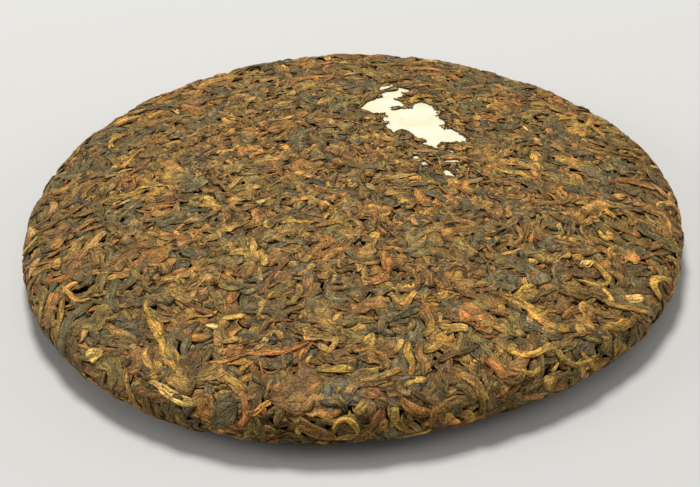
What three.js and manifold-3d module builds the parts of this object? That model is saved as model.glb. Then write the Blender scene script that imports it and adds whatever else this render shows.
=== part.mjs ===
// A pressed pu erh tea cake with its paper ticket, in millimetres, +Z up.
// The cake is one solid: a bumpy disc with its largest leaves fused on. It lies with its domed face up.
// The ticket is a thin sheet under the top leaves, and it shows where they leave it bare.
// The origin is on the table, under the middle of the cake.
import * as THREE from "three";
import { mergeVertices } from "three/addons/utils/BufferGeometryUtils.js";
import Module from "manifold-3d";

const wasm = await Module();
wasm.setup();

// The cake, as a profile that is turned about Z
const CAKE_RADIUS = 100;
const CENTRE_HEIGHT = 24;
const SHOULDER_RADIUS = 91;
const SHOULDER_HEIGHT = 15;
const DOME_POWER = 2.4;
const WIDEST_HEIGHT = 8;
const FOOT_RADIUS = 88;
// The hollow that the knot of the pressing cloth leaves in the underside
const HOLLOW_RADIUS = 29;
const HOLLOW_DEPTH = 9;

// How the outline departs from a circle: waves round the rim, each with its cosine and sine parts
const OUTLINE_WAVES = [
  { count: 1, cosine: -0.94, sine: -1.02 },
  { count: 2, cosine: -0.18, sine: 0.37 },
  { count: 3, cosine: 1.03, sine: -0.76 },
  { count: 4, cosine: 0.05, sine: -0.27 },
  { count: 5, cosine: -0.09, sine: 0.26 },
  { count: 6, cosine: -0.14, sine: 0.22 },
];

// The core is a little smaller than the cake, so that the leaves stand proud of it
const CORE_INSET = 0.4;
const CORE_SEGMENTS = 42;
const CORE_STEP = 9;
const CORE_BUMP = 0.55;

// The flat ring that the cake rests on, inside the foot. The rest of the foot is dented.
const REST_RADIUS = [60, 81];
const FOOT_DENT = [0.5, 1.5];

// Leaves laid by the spiral rule on each face. Lengths and widths are drawn between a least and a most.
const TOP_LEAVES = 96;
const TOP_REACH = 113;
const UNDER_LEAVES = 30;
const LEAF_LENGTH = [13, 27];
const LEAF_WIDTH = [3.6, 7];
const LEAF_THICKNESS = [2.6, 3.2];
// How far a leaf turns from end to end at most, in radians
const LEAF_BEND = 1.5;
const LEAF_SIDES = 4;
const LEAF_RINGS = [3, 5];
const LEAF_RING_STEP = 4.5;
const LEAF_FULLNESS = 0.6;
// How deep the middle of a leaf lies under the smooth face
const LEAF_SINK = { top: 0.5, under: 1.2 };
const LEAST_LEAF_HEIGHT = 0.1;
// A spiral leaf is left out where a large one lies within this share of its length
const CLEAR_SHARE = 0.35;
// The bend of a straight leaf, which is kept off nought because it is divided by
const STRAIGHT = 1e-6;
const SEED = 20261128;

// The ticket, as it lies under the leaves
const TICKET = { x: 20.5, y: 27.5, width: 44, length: 68, turn: THREE.MathUtils.degToRad(20) };
const TICKET_THICKNESS = 0.4;
const TICKET_DEPTH = 1.35;
const TICKET_WAVE = 0.22;
const TICKET_WAVE_LENGTH = 19;
const TICKET_STEPS = { across: 8, along: 12 };
const GAP = 0.3;
const WINDOW_HEIGHT = 8;
const COVER_INSET = 0.35;
const COVER_MARGIN = 10;

const GOLDEN_ANGLE = Math.PI * (3 - Math.sqrt(5));
const PROFILE_STEPS = 24;
const WELD_DISTANCE = 1e-4;
// How near the ends of a stretch of the profile still count as on it
const ON_FOOT = 0.01;
const SHORT_OF_END = 1e-6;

// The leaves that stand out most. Place and heading are seen from above, heading in degrees from +X,
// and bend is how far the leaf turns from end to end, in degrees.
const LARGE_LEAVES = [
  { x: -51, y: -71, heading: -67, length: 23, width: 4.5, bend: -28 },
  { x: -35, y: -85, heading: -20, length: 13, width: 4.5, bend: 60 },
  { x: -27, y: -78, heading: 8, length: 25, width: 3, bend: 35 },
  { x: -47, y: -101, heading: -28, length: 16, width: 3.2, bend: 30 },
  { x: -39, y: -94, heading: 40, length: 10, width: 6, bend: 0 },
  { x: -15, y: -91, heading: 20, length: 15, width: 12, bend: 0 },
  { x: -5.5, y: -91, heading: 80, length: 12, width: 8, bend: 0 },
  { x: 2, y: -76, heading: 50, length: 10, width: 3.6, bend: 30 },
  { x: 14.5, y: -81, heading: 92, length: 13, width: 4.5, bend: 0 },
  { x: 15, y: -96, heading: -35, length: 12, width: 3, bend: 60 },
  { x: 25.5, y: -70.5, heading: -10, length: 10, width: 3.4, bend: 0 },
  { x: 36, y: -83, heading: -60, length: 10, width: 3.6, bend: 20 },
  { x: 47.5, y: -64, heading: -28, length: 24, width: 4.8, bend: 22 },
  { x: 45, y: -69, heading: -22, length: 17, width: 5, bend: 0 },
  { x: 57, y: -78, heading: -5, length: 15, width: 2.8, bend: 95 },
  { x: 70, y: -66, heading: 25, length: 12, width: 3.6, bend: 0 },
  { x: 67, y: -47, heading: 80, length: 15, width: 4, bend: 150 },
  { x: 85, y: -48, heading: 70, length: 14, width: 3.6, bend: -100 },
  { x: 72.5, y: -29.5, heading: 30, length: 7, width: 5, bend: 0 },
  { x: 43, y: 12.5, heading: 31, length: 17, width: 4, bend: 12 },
  { x: 53, y: 22.5, heading: 25, length: 15, width: 4, bend: -10 },
  { x: 52, y: 4.5, heading: -50, length: 11, width: 4.5, bend: 0 },
  { x: 24, y: -14, heading: -45, length: 15, width: 3.6, bend: 0 },
  { x: 15, y: -4, heading: 18, length: 12, width: 3, bend: 0 },
  { x: -14, y: -13, heading: 25, length: 12, width: 3, bend: -70 },
  { x: -16, y: -25, heading: -12, length: 13, width: 3, bend: 80 },
  { x: -33, y: -11.5, heading: 15, length: 12, width: 4, bend: 25 },
  { x: -50, y: -19, heading: 5, length: 21, width: 8, bend: 12 },
  { x: -44, y: -35.5, heading: -36, length: 14, width: 4.5, bend: 0 },
  { x: -28.5, y: -36, heading: 93, length: 12, width: 3.6, bend: 10 },
  { x: -20, y: -57, heading: 15, length: 12, width: 8, bend: 0 },
  { x: -1, y: -56, heading: 5, length: 15, width: 8, bend: 0 },
  { x: 6, y: -51, heading: 12, length: 10, width: 4.6, bend: 0 },
  { x: 13, y: -41, heading: -6, length: 16, width: 3.4, bend: 25 },
  { x: -22, y: -49, heading: 58, length: 17, width: 3, bend: 25 },
  { x: -84, y: -38, heading: 5, length: 15, width: 4, bend: 130 },
  { x: -76, y: -47, heading: -20, length: 15, width: 3, bend: 90 },
  { x: -93, y: -30.5, heading: 65, length: 11, width: 3.4, bend: 0 },
  { x: -80, y: -16, heading: 30, length: 17, width: 3.6, bend: 25 },
  { x: -67, y: -6, heading: 28, length: 12, width: 3, bend: 15 },
  { x: -67, y: 12, heading: 51, length: 17, width: 3, bend: 0 },
  { x: -62.5, y: -65.5, heading: -46, length: 15, width: 4, bend: 15 },
  { x: -3.5, y: -100, heading: 0, length: 12, width: 3, bend: 0 },
  { x: -99.1, y: 3, heading: 86, length: 13, width: 4, bend: 0 },
];

// Where the ticket shows between the leaves: outlines seen from above, as x and y pairs
const WINDOWS = [
  [11.5, 36, 19, 37.5, 22, 43, 26.5, 42.5, 28.5, 36, 30.5, 28.5, 29.5, 26.5, 33, 24.5, 36, 17.5,
    27.5, 16, 26.5, 13.5, 22.5, 15.5, 25, 18, 19.5, 21.5, 16.5, 24.5, 12, 24.5, 12.5, 28.5, 10.5, 31.5],
  [3, 40, 6.5, 44.5, 9.5, 47.5, 10.5, 51, 13.5, 54, 17, 53.5, 18, 49, 14.5, 47, 17.5, 42,
    13.5, 37.5, 8.5, 36.5],
  [10, 61, 15, 61, 14, 57.5, 11.5, 56.5],
  [17, 57, 20.5, 54.5, 19.5, 52],
  [28, 4, 32.5, 3.5, 32, 5, 28.5, 5.5],
  [29.5, 11, 31.5, 9.5, 32.5, 12.5],
  [19.5, 7, 21.5, 5.5, 21.5, 8],
  [29, -3, 31.5, -4, 31, -1.5],
];

const LEAF_BROWN = { color: 0x5b4a31, roughness: 0.62, metalness: 0 };
const PAPER_CREAM = { color: 0xf4efdc, roughness: 0.85, metalness: 0 };

// Numbers between 0 and 1 from a seed, the same ones each time
function randomSource(seed) {
  let state = seed >>> 0;
  return () => {
    state = (state + 0x6d2b79f5) >>> 0;
    let mixed = Math.imul(state ^ (state >>> 15), state | 1);
    mixed ^= mixed + Math.imul(mixed ^ (mixed >>> 7), mixed | 61);
    return ((mixed ^ (mixed >>> 14)) >>> 0) / 2 ** 32;
  };
}

const random = randomSource(SEED);
const between = ([least, most]) => least + (most - least) * random();

// The profile from the middle of the top, over the rim, to the roof of the hollow underneath
function profilePoints() {
  const points = [];
  const add = (radius, height) => points.push(new THREE.Vector2(radius, height));
  for (let i = 0; i < PROFILE_STEPS; i += 1) {
    const radius = (SHOULDER_RADIUS * i) / PROFILE_STEPS;
    const fall = (radius / SHOULDER_RADIUS) ** DOME_POWER;
    add(radius, CENTRE_HEIGHT - (CENTRE_HEIGHT - SHOULDER_HEIGHT) * fall);
  }
  for (let i = 0; i < PROFILE_STEPS; i += 1) {
    const turn = (Math.PI / 2) * (i / PROFILE_STEPS);
    const out = (CAKE_RADIUS - SHOULDER_RADIUS) * Math.sin(turn);
    add(SHOULDER_RADIUS + out, WIDEST_HEIGHT + (SHOULDER_HEIGHT - WIDEST_HEIGHT) * Math.cos(turn));
  }
  for (let i = 0; i < PROFILE_STEPS; i += 1) {
    const turn = (Math.PI / 2) * (i / PROFILE_STEPS);
    const out = (CAKE_RADIUS - FOOT_RADIUS) * Math.cos(turn);
    add(FOOT_RADIUS + out, WIDEST_HEIGHT * (1 - Math.sin(turn)));
  }
  add(FOOT_RADIUS, 0);
  for (let i = 0; i <= PROFILE_STEPS; i += 1) {
    const radius = HOLLOW_RADIUS * (1 - i / PROFILE_STEPS);
    add(radius, (HOLLOW_DEPTH * (1 + Math.cos((Math.PI * radius) / HOLLOW_RADIUS))) / 2);
  }
  return points;
}

const PROFILE = profilePoints();
const REACHES = PROFILE.map(() => 0);
for (let i = 1; i < PROFILE.length; i += 1) {
  REACHES[i] = REACHES[i - 1] + PROFILE[i].distanceTo(PROFILE[i - 1]);
}
const WHOLE_REACH = REACHES[REACHES.length - 1];
const FOOT_REACH = REACHES[3 * PROFILE_STEPS];
const HOLLOW_REACH = REACHES[3 * PROFILE_STEPS + 1];

// The profile's point and outward normal at a reach, which is the way along it from the top
function onProfile(reach) {
  const held = Math.min(Math.max(reach, 0), WHOLE_REACH - SHORT_OF_END);
  const i = Math.max(1, REACHES.findIndex((end) => end > held));
  const share = (held - REACHES[i - 1]) / (REACHES[i] - REACHES[i - 1]);
  const point = PROFILE[i - 1].clone().lerp(PROFILE[i], share);
  const along = PROFILE[i].clone().sub(PROFILE[i - 1]).normalize();
  return { point, normal: new THREE.Vector2(-along.y, along.x) };
}

// How much wider than a circle the cake is in a direction
function outlineScale(angle) {
  const parts = OUTLINE_WAVES.map(
    ({ count, cosine, sine }) => cosine * Math.cos(count * angle) + sine * Math.sin(count * angle),
  );
  return 1 + parts.reduce((sum, part) => sum + part, 0) / CAKE_RADIUS;
}

// A point of the cake's surface from a flat map of it. The top's map has the middle of the top at 0, 0,
// and the underside's map, as seen through the cake, the middle of the hollow. A point's distance
// from there is its way along the profile. Lift is how far it is off the surface.
function onCake(across, up, lift = 0, under = false) {
  const angle = Math.atan2(up, across);
  const way = Math.hypot(across, up);
  const { point, normal } = onProfile(under ? WHOLE_REACH - way : way);
  const radius = point.x * outlineScale(angle) + normal.x * lift;
  return new THREE.Vector3(radius * Math.cos(angle), radius * Math.sin(angle), point.y + normal.y * lift);
}

// The place on the flat map of a point of the top face that is seen from above
function toMap(x, y) {
  const angle = Math.atan2(y, x);
  const radius = Math.hypot(x, y) / outlineScale(angle);
  const last = 2 * PROFILE_STEPS;
  const i = PROFILE.findIndex((point, index) => index > 0 && (point.x >= radius || index === last));
  const step = PROFILE[i].x - PROFILE[i - 1].x;
  const share = Math.min(1, (radius - PROFILE[i - 1].x) / step);
  const reach = REACHES[i - 1] + share * (REACHES[i] - REACHES[i - 1]);
  return new THREE.Vector2(reach * Math.cos(angle), reach * Math.sin(angle));
}

// The height of the smooth top face over a point
function topHeight(x, y) {
  const place = toMap(x, y);
  return onCake(place.x, place.y).z;
}

// A closed three.js geometry as a solid that can be joined and cut
function toSolid(geometry) {
  geometry.deleteAttribute("normal");
  geometry.deleteAttribute("uv");
  const welded = mergeVertices(geometry, WELD_DISTANCE);
  const corners = Array.from(welded.index.array);
  const triangles = [];
  for (let i = 0; i < corners.length; i += 3) {
    const [a, b, c] = corners.slice(i, i + 3);
    if (a !== b && b !== c && c !== a) triangles.push(a, b, c);
  }
  return new wasm.Manifold(
    new wasm.Mesh({
      numProp: 3,
      vertProperties: new Float32Array(welded.attributes.position.array),
      triVerts: new Uint32Array(triangles),
    }),
  );
}

function toGeometry(solid) {
  const { vertProperties, triVerts } = solid.getMesh();
  const geometry = new THREE.BufferGeometry();
  geometry.setAttribute("position", new THREE.BufferAttribute(new Float32Array(vertProperties), 3));
  geometry.setIndex(new THREE.BufferAttribute(new Uint32Array(triVerts), 1));
  geometry.computeVertexNormals();
  return geometry;
}

// Moves each corner of a geometry, with corners that share a place moved alike
function moveCorners(geometry, move) {
  const position = geometry.attributes.position;
  const corner = new THREE.Vector3();
  for (let i = 0; i < position.count; i += 1) {
    corner.fromBufferAttribute(position, i);
    position.setXYZ(i, ...move(corner).toArray());
  }
  return geometry;
}

// The reach of each ring of the core, from the hollow to the middle of the top.
// The flat foot has rings at both its edges.
function coreReaches() {
  const reaches = [WHOLE_REACH];
  for (const [start, end] of [[WHOLE_REACH, HOLLOW_REACH], [HOLLOW_REACH, FOOT_REACH], [FOOT_REACH, 0]]) {
    const steps = Math.round((start - end) / CORE_STEP);
    for (let i = 1; i <= steps; i += 1) reaches.push(start + ((end - start) * i) / steps);
  }
  return reaches;
}

// The bumpy disc under the leaves. A ring of its foot is flat, which the cake rests on, and the rest
// of the foot is dented. It is raised and smooth over the ticket, which needs an even cover.
function coreSolid() {
  const reaches = coreReaches();
  const disc = new THREE.LatheGeometry(reaches.map((reach) => onProfile(reach).point), CORE_SEGMENTS);
  const bumps = reaches.map(() => Array.from({ length: CORE_SEGMENTS }, () => 2 * random() - 1));
  const position = disc.attributes.position;
  for (let i = 0; i < position.count; i += 1) {
    const ring = i % reaches.length;
    const segment = Math.floor(i / reaches.length) % CORE_SEGMENTS;
    const reach = reaches[ring];
    const angle = (2 * Math.PI * (segment + (ring % 2) / 2)) / CORE_SEGMENTS;
    const across = reach * Math.cos(angle);
    const up = reach * Math.sin(angle);
    const inMiddle = ring === 0 || ring === reaches.length - 1;
    const bump = bumps[ring][inMiddle ? 0 : segment];
    const radius = onProfile(reach).point.x;
    const onFoot = reach >= FOOT_REACH - ON_FOOT && reach <= HOLLOW_REACH + ON_FOOT;
    let lift = CORE_BUMP * bump - CORE_INSET;
    if (onFoot) lift = -THREE.MathUtils.lerp(...FOOT_DENT, (1 + bump) / 2);
    if (onFoot && radius > REST_RADIUS[0] && radius < REST_RADIUS[1]) lift = 0;
    if (overTicket(across, up)) lift = -COVER_INSET;
    const point = onCake(across, up, lift);
    position.setXYZ(i, inMiddle ? 0 : point.x, inMiddle ? 0 : point.y, point.z);
  }
  return toSolid(disc);
}

// Whether a point of the flat map is over the ticket or close round it
function overTicket(across, up) {
  const { x, y, width, length, turn } = TICKET;
  const local = new THREE.Vector2(across - x, up - y).rotateAround(new THREE.Vector2(), -turn);
  const besideX = Math.abs(local.x) < width / 2 + COVER_MARGIN;
  const besideY = Math.abs(local.y) < length / 2 + COVER_MARGIN;
  return besideX && besideY && Math.hypot(across, up) < SHOULDER_RADIUS;
}

// A leaf: a flattened strip with few sides and narrow ends, bent along an arc over the cake
function leafSolid({ place, heading, length, width, thickness, bend, under }) {
  const rings = THREE.MathUtils.clamp(Math.round(length / LEAF_RING_STEP), ...LEAF_RINGS);
  const curl = bend / length || STRAIGHT;
  const side = under ? -1 : 1;
  const strip = moveCorners(new THREE.SphereGeometry(1, LEAF_SIDES, rings), (corner) => {
    const share = Math.acos(THREE.MathUtils.clamp(corner.y, -1, 1)) / Math.PI;
    const round = Math.hypot(corner.x, corner.z) || 1;
    const girth = Math.sin(Math.PI * share) ** LEAF_FULLNESS;
    const way = (share - 0.5) * length;
    const aside = (1 - Math.cos(curl * way)) / curl;
    const off = (corner.x / round) * girth * (width / 2) * side;
    const turned = heading + curl * way;
    const across = place.x + (Math.sin(curl * way) / curl) * Math.cos(heading) - aside * Math.sin(heading);
    const up = place.y + (Math.sin(curl * way) / curl) * Math.sin(heading) + aside * Math.cos(heading);
    const sink = under ? LEAF_SINK.under : LEAF_SINK.top;
    const lift = (corner.z / round) * girth * (thickness / 2) - sink;
    const point = onCake(across - off * Math.sin(turned), up + off * Math.cos(turned), lift, under);
    return point.setZ(Math.max(point.z, LEAST_LEAF_HEIGHT));
  });
  return toSolid(strip);
}

// The leaves that the photograph shows best, then the rest, spread evenly by a spiral
function leaves() {
  const toRadians = THREE.MathUtils.degToRad;
  const large = LARGE_LEAVES.map(({ x, y, heading, length, width, bend }) => ({
    place: toMap(x, y),
    heading: toRadians(heading),
    length,
    width,
    thickness: LEAF_THICKNESS[1],
    bend: toRadians(bend),
    under: false,
  }));
  const isClear = (leaf) =>
    large.every(({ place, length }) => place.distanceTo(leaf.place) > length * CLEAR_SHARE);
  const top = spiralLeaves(TOP_LEAVES, TOP_REACH, false).filter(isClear);
  const under = spiralLeaves(UNDER_LEAVES, WHOLE_REACH - FOOT_REACH, true).filter(isOffRest);
  return [...large, ...top, ...under];
}

// Leaves that start in the middle of a face, each a golden angle on from the last
function spiralLeaves(count, farthest, under) {
  const spread = [];
  for (let i = 0; i < count; i += 1) {
    const way = farthest * Math.sqrt((i + 0.5) / count);
    const angle = i * GOLDEN_ANGLE;
    spread.push({
      place: new THREE.Vector2(way * Math.cos(angle), way * Math.sin(angle)),
      heading: 2 * Math.PI * random(),
      length: between(LEAF_LENGTH),
      width: between(LEAF_WIDTH),
      thickness: between(LEAF_THICKNESS),
      bend: LEAF_BEND * (2 * random() - 1),
      under,
    });
  }
  return spread;
}

// Whether a leaf of the underside lies clear of the flat ring
function isOffRest({ place, length }) {
  const radius = onProfile(WHOLE_REACH - place.length()).point.x;
  return radius < REST_RADIUS[0] - length / 2 || radius > REST_RADIUS[1] + length / 2;
}

// The height of the middle of the ticket's thickness: it follows the dome, with waves of its own
function ticketHeight(x, y) {
  const turns = (2 * Math.PI) / TICKET_WAVE_LENGTH;
  return topHeight(x, y) - TICKET_DEPTH + TICKET_WAVE * Math.sin(turns * x) * Math.cos(turns * y);
}

// The ticket grown by a gap on all sides: with no gap, the ticket itself
function sheetGeometry(gap) {
  const { x, y, width, length, turn } = TICKET;
  const size = [width + 2 * gap, length + 2 * gap, TICKET_THICKNESS + 2 * gap];
  const sheet = new THREE.BoxGeometry(...size, TICKET_STEPS.across, TICKET_STEPS.along, 1);
  sheet.rotateZ(turn);
  sheet.translate(x, y, 0);
  return moveCorners(sheet, (corner) => corner.setZ(corner.z + ticketHeight(corner.x, corner.y)));
}

// A window in the leaves over the ticket, from the middle of the sheet up to the open air
function windowSolid(outline) {
  const corners = [];
  for (let i = 0; i < outline.length; i += 2) corners.push(new THREE.Vector2(outline[i], outline[i + 1]));
  const prism = new THREE.ExtrudeGeometry(new THREE.Shape(corners), {
    depth: WINDOW_HEIGHT,
    bevelEnabled: false,
  });
  return toSolid(moveCorners(prism, (corner) => corner.setZ(corner.z + ticketHeight(corner.x, corner.y))));
}

function cakeSolid() {
  const parts = [coreSolid(), ...leaves().map(leafSolid)];
  const joined = parts.reduce((whole, part) => whole.add(part));
  const cuts = [toSolid(sheetGeometry(GAP)), ...WINDOWS.map(windowSolid)];
  return cuts.reduce((whole, cut) => whole.subtract(cut), joined);
}

function piece(name, geometry, look) {
  const mesh = new THREE.Mesh(geometry, new THREE.MeshStandardMaterial(look));
  mesh.name = name;
  return mesh;
}

const teaCake = new THREE.Group();
teaCake.add(piece("tea_cake", toGeometry(cakeSolid()), LEAF_BROWN));
teaCake.add(piece("paper_ticket", toGeometry(toSolid(sheetGeometry(0))), PAPER_CREAM));

export default teaCake;
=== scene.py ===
"""The looks of a pressed pu erh tea cake: thousands of leaves laid over one another, and a paper ticket.

Each face of the cake is laid out on a flat map, in millimetres. Leaves are laid on the map one by one, each
resting on what lies under it, and the heap is then pressed against the cake's form. Hidden leaves and
hidden ends of leaves are left out.
"""
import functools
import math

import bpy
import numpy as np
from mathutils import Matrix, Vector


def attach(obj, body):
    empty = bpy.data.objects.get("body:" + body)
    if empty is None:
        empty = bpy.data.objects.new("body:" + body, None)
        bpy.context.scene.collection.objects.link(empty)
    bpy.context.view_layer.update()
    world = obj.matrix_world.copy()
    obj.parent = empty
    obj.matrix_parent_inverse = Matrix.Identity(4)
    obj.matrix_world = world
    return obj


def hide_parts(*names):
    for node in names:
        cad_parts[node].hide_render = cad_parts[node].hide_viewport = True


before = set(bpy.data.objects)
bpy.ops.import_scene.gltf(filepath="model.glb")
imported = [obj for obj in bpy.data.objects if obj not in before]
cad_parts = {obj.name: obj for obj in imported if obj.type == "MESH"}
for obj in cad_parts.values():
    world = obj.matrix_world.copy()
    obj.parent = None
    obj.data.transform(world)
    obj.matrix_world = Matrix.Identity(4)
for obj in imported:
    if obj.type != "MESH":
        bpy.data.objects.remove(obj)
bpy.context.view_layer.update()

MM = 0.001
SEED = 357

# The cake's form in millimetres, as in the part: a profile turned about Z
CAKE_RADIUS = 100
CENTRE_HEIGHT = 24
SHOULDER_RADIUS = 91
SHOULDER_HEIGHT = 15
DOME_POWER = 2.4
WIDEST_HEIGHT = 8
FOOT_RADIUS = 88
HOLLOW_RADIUS = 29
HOLLOW_DEPTH = 9
PROFILE_STEPS = 60
# Waves round the outline: how many, and their cosine and sine parts in millimetres
OUTLINE_WAVES = (
    (1, -0.94, -1.02),
    (2, -0.18, 0.37),
    (3, 1.03, -0.76),
    (4, 0.05, -0.27),
    (5, -0.09, 0.26),
    (6, -0.14, 0.22),
)

# The maps' radii, the side of their cells, and the step at which leaves are laid on them
TOP_EDGE = 113
UNDER_EDGE = 100
CELL = 0.4
LAY_STEP = 0.3
# Where on the way out the cake goes from pressed flat to loose
LOOSE_RIM = (55, 95)

# How each kind of leaf is shaped, in millimetres and turns. Pairs are a least and a most.
# stiff is the length over which a leaf bridges what lies under it, level is how far its two sides
# stay at one height, and taper is the share of the length over which each end narrows. Creases run
# along the leaf, and crumple is the height of its uneven folds.
KINDS = {
    "rolled": dict(length=(8, 20), width=(1.9, 4.0), thick=(0.7, 1.2), bend=1.5, wobble=0.35, stiff=3.2,
                   level=0.4, taper=(0.06, 0.35), crown=0.3, creases=2, crease=0.4, crumple=0.06, rough=0.2),
    "broad": dict(length=(6, 14), width=(3.8, 8), thick=(0.5, 0.9), bend=0.7, wobble=0.3, stiff=2.6,
                  level=0.1, taper=(0.06, 0.35), crown=0.12, creases=3, crease=0.4, crumple=0.11, rough=0.3),
    "bud": dict(length=(4, 10), width=(1.6, 2.8), thick=(0.8, 1.3), bend=1.4, wobble=0.25, stiff=4,
                level=0.5, taper=(0.1, 0.5), crown=0.4, creases=1, crease=0.25, crumple=0.05, rough=0.15),
    "stem": dict(length=(6, 12), width=(1.0, 1.6), thick=(0.7, 1.1), bend=0.7, wobble=0.2, stiff=5,
                 level=0.9, taper=(0.03, 0.08), crown=0.45, creases=1, crease=0.15, crumple=0.04, rough=0.1),
    "crumb": dict(length=(1.8, 4.8), width=(1.3, 3.2), thick=(0.4, 0.9), bend=0.8, wobble=0.4, stiff=1.5,
                  level=0.1, taper=(0.05, 0.3), crown=0.25, creases=1, crease=0.25, crumple=0.09,
                  rough=0.35),
}
# How much longer, more uneven and more crumpled leaves are in the middle and at the rim
LENGTH_GAIN = (0.95, 1.1)
ROUGH_GAIN = (1.7, 1.0)
CRUMPLE_GAIN = (2.0, 1.0)
# A leaf's points: the steps along and across it, and the least and the most of each
RING_STEP = 1.0
RINGS = (5, 22)
COLUMN_STEP = 0.52
COLUMNS = (4, 11)
# How often a leaf sways, and the share of its kind's wobble
SWAY_TURNS = (0.6, 1.6)
WOBBLE_SHARE = (0.3, 1)
# The shapes of the two ends' tapers, and the share of the width left at the tips
TAPER_POWERS = (0.6, 0.7)
END_WIDTH = 0.3
# Uneven sides: over how many rings they change, and the noise's and the width's limits
ROUGH_SPREAD = 1.4
ROUGH_LIMITS = (-1.6, 1.2)
WIDTH_LIMITS = (0.25, 2)
# The heights of a leaf's sides and crown as shares of its thickness, and how square the crown is
RISE_SHARES = (0.15, 1)
CROWN_POWER = 2.6
# Creases: width, place and sway as shares of half the leaf's width, number of sways, and share of depth
CREASE_WIDTH = (0.16, 0.3)
CREASE_PLACE = 0.7
CREASE_SWAY = 0.5
CREASE_TURNS = (0.4, 1.2)
CREASE_SHARE = (0.5, 1)
# Over how many points crumples change, and the limits of all folds
CRUMPLE_SPREAD = 0.9
FOLD_LIMITS = (-0.6, 0.3)
# How far a leaf sinks in, and how deep its keel is, as shares of its thickness
SETTLE_SHARE = 0.2
KEEL_SHARE = 0.45
# How far the keel stays under the rest of its ring at least
KEEL_GAP = 0.12

# Colours of the leaves, from 0 to 255, and a gain on all of them
COLOURS = {
    "slate": (88, 79, 49),
    "dark": (95, 74, 36),
    "brown": (115, 86, 40),
    "olive": (119, 99, 50),
    "tan": (142, 110, 51),
    "gold": (166, 129, 55),
    "rust": (141, 95, 43),
    "cream": (200, 167, 92),
    "redbrown": (112, 69, 30),
}
COLOUR_GAIN = 1.13
# What a colour turns to at one end of a leaf, and the slope and start of the change
TURNS_TO = {
    "slate": dict(dark=0.5, olive=0.5),
    "dark": dict(brown=0.6, slate=0.4),
    "brown": dict(tan=0.4, dark=0.4, rust=0.2),
    "olive": dict(tan=0.5, slate=0.5),
    "tan": dict(gold=0.5, brown=0.5),
    "gold": dict(tan=0.5, cream=0.3, rust=0.2),
    "rust": dict(gold=0.5, brown=0.5),
    "cream": dict(gold=0.6, tan=0.4),
    "redbrown": dict(brown=0.6, dark=0.4),
}
TURN_SLOPE = 2.2
TURN_START = 1.2
# How much leaves of one colour differ in brightness and in tint
OWN_SPREAD = 0.09
TINT_SPREAD = 0.03
# The colour that shows on raised folds, partly wear and partly painted highlight, and how much of it
WORN_AND_LIT_COLOUR = (160, 118, 48)
WORN_AND_LIT_SHARE = 0.5
# Painted shade and light: a leaf's lowest shade at its low edges, what its crown adds, and how much its
# folds change it, darker in creases and lighter on raised folds; and how much random patches change it
LOW_PAINTED_SHADE = 0.2
CROWN_PAINTED_LIGHT = 0.87
FOLD_PAINTED_SHADE = 0.45
PATCH_SHADE = 0.1
PATCH_SPREAD = 0.8
# Painted shade at the edges: what they lose of red, green and blue; a painted highlight: the gain just
# inside them; and the painted shade of the keel under the leaf
EDGE_PAINTED_SHADE_TINT = (0, 0.08, 0.17)
EDGE_PAINTED_HIGHLIGHT = 1.15
KEEL_PAINTED_SHADE = 0.5
# How much of its veins and wrinkles a kind of leaf shows
VEINS = dict(rolled=1, broad=0.45, bud=0.8, stem=1, crumb=0.8)

# How many leaves are laid on each face. The top's are laid in three turns: under the ticket, over it,
# and last round the leaves that stand out.
TOP_LEAVES = (2400, 2500, 950)
UNDER_LEAVES = 3300
# How far a leaf lies from its place in an even spread, in millimetres
PLACE_SPREAD = 1.2
# Shares of the kinds of leaf in the middle and at the rim
KIND_SHARES = {
    "rolled": (0.4, 0.54),
    "broad": (0.42, 0.24),
    "bud": (0.06, 0.07),
    "stem": (0.03, 0.03),
    "crumb": (0.09, 0.12),
}
COLOUR_SHARES = {
    "rolled": dict(slate=0.2, dark=0.19, brown=0.29, olive=0.13, tan=0.11, rust=0.04, gold=0.04),
    "broad": dict(slate=0.26, dark=0.16, brown=0.3, olive=0.18, tan=0.07, rust=0.03),
    "bud": dict(gold=0.6, tan=0.24, rust=0.13, cream=0.03),
    "stem": dict(redbrown=0.45, brown=0.3, tan=0.25),
    "crumb": dict(dark=0.24, brown=0.29, olive=0.13, tan=0.2, gold=0.07, rust=0.07),
}

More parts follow.
